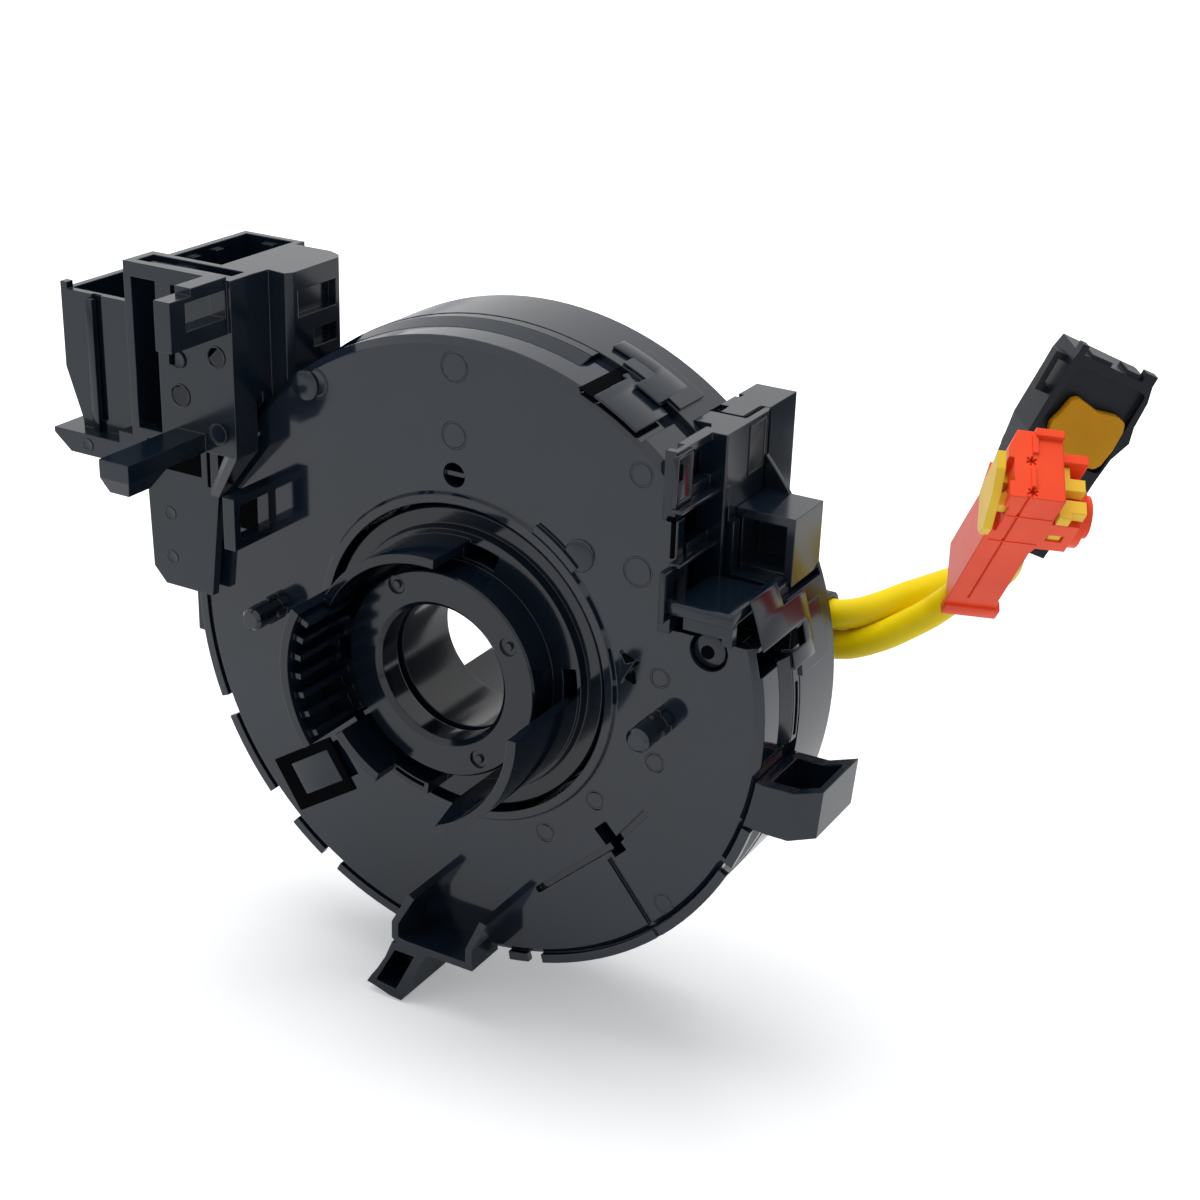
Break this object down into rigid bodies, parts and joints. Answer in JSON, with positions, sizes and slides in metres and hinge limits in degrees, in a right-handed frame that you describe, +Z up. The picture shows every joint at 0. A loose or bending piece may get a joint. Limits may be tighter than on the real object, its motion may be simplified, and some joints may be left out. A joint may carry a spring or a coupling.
{
  "type": "steering clock spring",
  "caption": "Steering clock spring: flat black drum with a ribbed cancel cam, harness sockets, a switch bracket and two yellow airbag leads with connectors.",
  "frame": {"origin": "centre of the shaft bore in the plane of the column-side face", "axes": "+Y along the spin axis towards the steering wheel, +Z up towards the harness sockets, +X to the right seen from the column side"},
  "size_m": [0.1673, 0.1176, 0.1214],
  "materials": {
    "black_plastic": "satin",
    "gloss_black_plastic": "gloss",
    "contact_brass": "satin",
    "glide_film": "satin",
    "ribbon_film": "satin",
    "natural_plastic": "satin",
    "yellow_sleeve": "satin",
    "orange_plastic": "satin",
    "yellow_plastic": "satin",
    "mustard_plastic": "satin",
    "grommet_rubber": "matte"
  },
  "bodies": {
    "stator": {"column_cover": "gloss_black_plastic", "drum_case": "black_plastic", "switch_bracket": "black_plastic", "connector_housing": "black_plastic", "hook_tray": "black_plastic", "main_socket_pins": "contact_brass", "side_socket_pins": "contact_brass", "terminal_plate": "black_plastic", "stator_terminal_block": "black_plastic", "case_glide_sheet": "glide_film", "outer_ribbon_coil": "ribbon_film", "loop_clip": "black_plastic", "side_block": "black_plastic"},
    "carrier": {"carrier_ring": "natural_plastic", "ribbon_turn": "ribbon_film"},
    "roller_1": {"guide_roller_1": "natural_plastic"},
    "roller_2": {"guide_roller_2": "natural_plastic"},
    "roller_3": {"guide_roller_3": "natural_plastic"},
    "roller_4": {"guide_roller_4": "natural_plastic"},
    "rotor": {"inner_ribbon_coil": "ribbon_film", "rotor_plate": "black_plastic", "rotor_glide_sheet": "glide_film", "cancel_cam": "gloss_black_plastic", "rotor_terminal_block": "black_plastic", "switch_socket": "black_plastic", "switch_socket_pins": "contact_brass", "lead_outlet": "black_plastic", "lead_grommet": "grommet_rubber", "orange_lead": "yellow_sleeve", "black_lead": "yellow_sleeve", "orange_connector": "orange_plastic", "black_connector": "black_plastic"},
    "orange_lock": {"orange_lock": "yellow_plastic"},
    "black_lock": {"black_lock": "mustard_plastic"}
  },
  "joints": [
    {"name": "rotor_spin", "type": "hinge", "parent": "stator", "child": "rotor", "pos_m": [0, 0, 0], "axis": [0, 1, 0], "range_deg": [-900, 900]},
    {"name": "carrier_spin", "type": "hinge", "parent": "stator", "child": "carrier", "pos_m": [0, 0.018, 0], "axis": [0, 1, 0], "range_deg": [-395, 395]},
    {"name": "roller_spin_1", "type": "hinge", "parent": "carrier", "child": "roller_1", "pos_m": [0.0354, 0.019, 0], "axis": [0, 1, 0], "range_deg": [-6995, 6995]},
    {"name": "roller_spin_2", "type": "hinge", "parent": "carrier", "child": "roller_2", "pos_m": [0, 0.019, 0.0354], "axis": [0, 1, 0], "range_deg": [-6995, 6995]},
    {"name": "roller_spin_3", "type": "hinge", "parent": "carrier", "child": "roller_3", "pos_m": [-0.0354, 0.019, 0], "axis": [0, 1, 0], "range_deg": [-6995, 6995]},
    {"name": "roller_spin_4", "type": "hinge", "parent": "carrier", "child": "roller_4", "pos_m": [0, 0.019, -0.0354], "axis": [0, 1, 0], "range_deg": [-6995, 6995]},
    {"name": "orange_lock_slide", "type": "slide", "parent": "rotor", "child": "orange_lock", "axis": [0.8464, 0.5215, -0.1082], "range_m": [0, 0.0013]},
    {"name": "black_lock_slide", "type": "slide", "parent": "rotor", "child": "black_lock", "axis": [0.5779, -0.8128, -0.0736], "range_m": [0, 0.002]}
  ],
  "couplings": [
    {"joint": "carrier_spin", "follows": "rotor_spin", "ratio": 0.4378},
    {"joint": "roller_spin_1", "follows": "rotor_spin", "ratio": -7.761},
    {"joint": "roller_spin_2", "follows": "rotor_spin", "ratio": -7.761},
    {"joint": "roller_spin_3", "follows": "rotor_spin", "ratio": -7.761},
    {"joint": "roller_spin_4", "follows": "rotor_spin", "ratio": -7.761}
  ]
}
